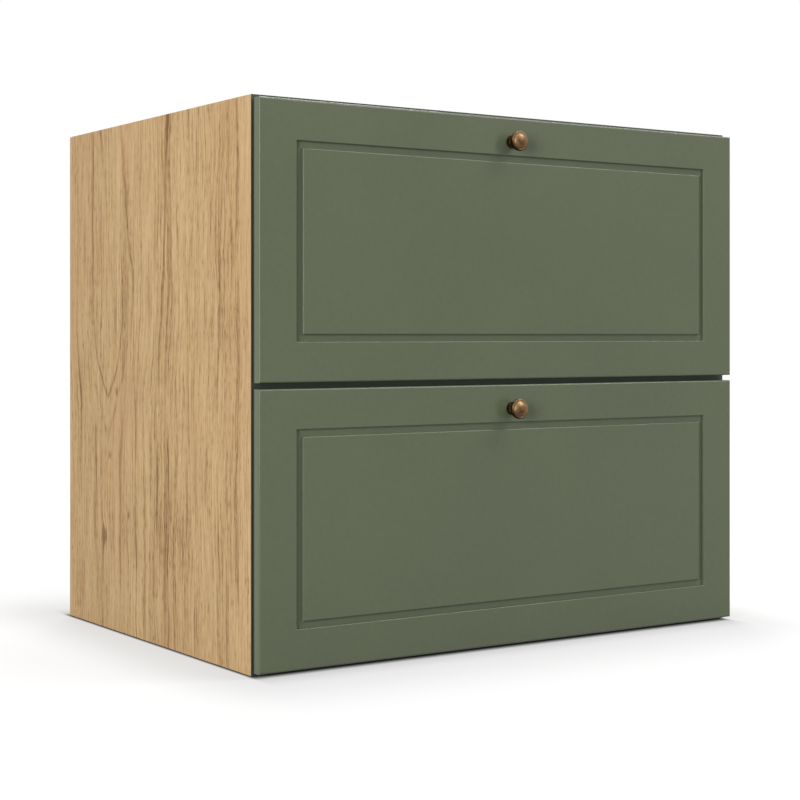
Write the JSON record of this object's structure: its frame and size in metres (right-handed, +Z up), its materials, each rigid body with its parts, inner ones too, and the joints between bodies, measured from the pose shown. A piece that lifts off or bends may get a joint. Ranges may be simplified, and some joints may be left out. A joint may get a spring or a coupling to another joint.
{
  "type": "kitchen base cabinet",
  "caption": "Kitchen base cabinet: oak-decor carcass, deep drawers stacked behind olive green framed fronts with round aged-brass knobs, on full-extension ball-bearing slides.",
  "frame": {"origin": "middle of the carcass footprint, on the floor", "axes": "+Z up, +X to the right seen from the front, and the drawers open towards -Y"},
  "size_m": [0.8, 0.6085, 0.72],
  "materials": {
    "oak_board": "satin melamine board in oak decor with upright grain",
    "dark_edge_band": "matt dark olive edge band",
    "back_hardboard": "smooth lacquered hardboard",
    "beech_dowel": "raw fluted beech",
    "green_paint": "matt olive green lacquer on fibreboard",
    "drawer_board": "matt white melamine board",
    "drawer_base": "matt white laminated board",
    "antique_brass": "aged bronze-toned brass, rubbed bright on the edges",
    "slide_steel": "zinc-plated rolled steel",
    "ball_cage_steel": "thin plated strip with polished balls",
    "fastener_steel": "zinc-plated steel",
    "cast_zinc": "bare die-cast zinc",
    "clear_rubber": "soft translucent pad"
  },
  "bodies": {
    "carcass": {"back_panel": "back_hardboard", "back_panel_nails": "fastener_steel", "bottom_panel": "oak_board", "cam_bolts": "fastener_steel", "cam_housings": "cast_zinc", "carcass_dowels": "beech_dowel", "carcass_edge_bands": "dark_edge_band", "carcass_slide_screws": "fastener_steel", "drawer_rail": "oak_board", "lower_left_slide_outer": "slide_steel", "lower_right_slide_outer": "slide_steel", "side_panel_left": "oak_board", "side_panel_right": "oak_board", "top_rail_front": "oak_board", "top_rail_rear": "oak_board", "upper_left_slide_outer": "slide_steel", "upper_right_slide_outer": "slide_steel"},
    "lower_drawer": {"lower_box_back": "drawer_board", "lower_box_base": "drawer_base", "lower_box_edge_bands": "drawer_board", "lower_box_front": "drawer_board", "lower_box_screws": "fastener_steel", "lower_box_side_left": "drawer_board", "lower_box_side_right": "drawer_board", "lower_bumpers": "clear_rubber", "lower_front": "green_paint", "lower_front_screws": "fastener_steel", "lower_knob": "antique_brass", "lower_knob_screw": "fastener_steel", "lower_left_slide_inner": "slide_steel", "lower_right_slide_inner": "slide_steel", "lower_slide_screws": "fastener_steel"},
    "upper_drawer": {"upper_box_back": "drawer_board", "upper_box_base": "drawer_base", "upper_box_edge_bands": "drawer_board", "upper_box_front": "drawer_board", "upper_box_screws": "fastener_steel", "upper_box_side_left": "drawer_board", "upper_box_side_right": "drawer_board", "upper_bumpers": "clear_rubber", "upper_front": "green_paint", "upper_front_screws": "fastener_steel", "upper_knob": "antique_brass", "upper_knob_screw": "fastener_steel", "upper_left_slide_inner": "slide_steel", "upper_right_slide_inner": "slide_steel", "upper_slide_screws": "fastener_steel"},
    "lower_left_inner_ball_cage": {"lower_left_inner_ball_cage": "ball_cage_steel"},
    "lower_left_outer_ball_cage": {"lower_left_outer_ball_cage": "ball_cage_steel"},
    "lower_left_slide_middle": {"lower_left_slide_middle": "slide_steel"},
    "lower_right_inner_ball_cage": {"lower_right_inner_ball_cage": "ball_cage_steel"},
    "lower_right_outer_ball_cage": {"lower_right_outer_ball_cage": "ball_cage_steel"},
    "lower_right_slide_middle": {"lower_right_slide_middle": "slide_steel"},
    "upper_left_inner_ball_cage": {"upper_left_inner_ball_cage": "ball_cage_steel"},
    "upper_left_outer_ball_cage": {"upper_left_outer_ball_cage": "ball_cage_steel"},
    "upper_left_slide_middle": {"upper_left_slide_middle": "slide_steel"},
    "upper_right_inner_ball_cage": {"upper_right_inner_ball_cage": "ball_cage_steel"},
    "upper_right_outer_ball_cage": {"upper_right_outer_ball_cage": "ball_cage_steel"},
    "upper_right_slide_middle": {"upper_right_slide_middle": "slide_steel"}
  },
  "joints": [
    {"name": "lower_drawer_slide", "type": "slide", "parent": "carcass", "child": "lower_drawer", "axis": [0, -1, 0], "range_m": [0, 0.5]},
    {"name": "upper_drawer_slide", "type": "slide", "parent": "carcass", "child": "upper_drawer", "axis": [0, -1, 0], "range_m": [0, 0.5]},
    {"name": "lower_left_outer_ball_cage_travel", "type": "slide", "parent": "carcass", "child": "lower_left_outer_ball_cage", "axis": [0, -1, 0], "range_m": [0, 0.125]},
    {"name": "lower_left_slide_middle_travel", "type": "slide", "parent": "carcass", "child": "lower_left_slide_middle", "axis": [0, -1, 0], "range_m": [0, 0.25]},
    {"name": "lower_left_inner_ball_cage_travel", "type": "slide", "parent": "carcass", "child": "lower_left_inner_ball_cage", "axis": [0, -1, 0], "range_m": [0, 0.375]},
    {"name": "lower_right_outer_ball_cage_travel", "type": "slide", "parent": "carcass", "child": "lower_right_outer_ball_cage", "axis": [0, -1, 0], "range_m": [0, 0.125]},
    {"name": "lower_right_slide_middle_travel", "type": "slide", "parent": "carcass", "child": "lower_right_slide_middle", "axis": [0, -1, 0], "range_m": [0, 0.25]},
    {"name": "lower_right_inner_ball_cage_travel", "type": "slide", "parent": "carcass", "child": "lower_right_inner_ball_cage", "axis": [0, -1, 0], "range_m": [0, 0.375]},
    {"name": "upper_left_outer_ball_cage_travel", "type": "slide", "parent": "carcass", "child": "upper_left_outer_ball_cage", "axis": [0, -1, 0], "range_m": [0, 0.125]},
    {"name": "upper_left_slide_middle_travel", "type": "slide", "parent": "carcass", "child": "upper_left_slide_middle", "axis": [0, -1, 0], "range_m": [0, 0.25]},
    {"name": "upper_left_inner_ball_cage_travel", "type": "slide", "parent": "carcass", "child": "upper_left_inner_ball_cage", "axis": [0, -1, 0], "range_m": [0, 0.375]},
    {"name": "upper_right_outer_ball_cage_travel", "type": "slide", "parent": "carcass", "child": "upper_right_outer_ball_cage", "axis": [0, -1, 0], "range_m": [0, 0.125]},
    {"name": "upper_right_slide_middle_travel", "type": "slide", "parent": "carcass", "child": "upper_right_slide_middle", "axis": [0, -1, 0], "range_m": [0, 0.25]},
    {"name": "upper_right_inner_ball_cage_travel", "type": "slide", "parent": "carcass", "child": "upper_right_inner_ball_cage", "axis": [0, -1, 0], "range_m": [0, 0.375]}
  ],
  "couplings": [
    {"joint": "lower_left_outer_ball_cage_travel", "follows": "lower_drawer_slide", "ratio": 0.25},
    {"joint": "lower_left_slide_middle_travel", "follows": "lower_drawer_slide", "ratio": 0.5},
    {"joint": "lower_left_inner_ball_cage_travel", "follows": "lower_drawer_slide", "ratio": 0.75},
    {"joint": "lower_right_outer_ball_cage_travel", "follows": "lower_drawer_slide", "ratio": 0.25},
    {"joint": "lower_right_slide_middle_travel", "follows": "lower_drawer_slide", "ratio": 0.5},
    {"joint": "lower_right_inner_ball_cage_travel", "follows": "lower_drawer_slide", "ratio": 0.75},
    {"joint": "upper_left_outer_ball_cage_travel", "follows": "upper_drawer_slide", "ratio": 0.25},
    {"joint": "upper_left_slide_middle_travel", "follows": "upper_drawer_slide", "ratio": 0.5},
    {"joint": "upper_left_inner_ball_cage_travel", "follows": "upper_drawer_slide", "ratio": 0.75},
    {"joint": "upper_right_outer_ball_cage_travel", "follows": "upper_drawer_slide", "ratio": 0.25},
    {"joint": "upper_right_slide_middle_travel", "follows": "upper_drawer_slide", "ratio": 0.5},
    {"joint": "upper_right_inner_ball_cage_travel", "follows": "upper_drawer_slide", "ratio": 0.75}
  ]
}
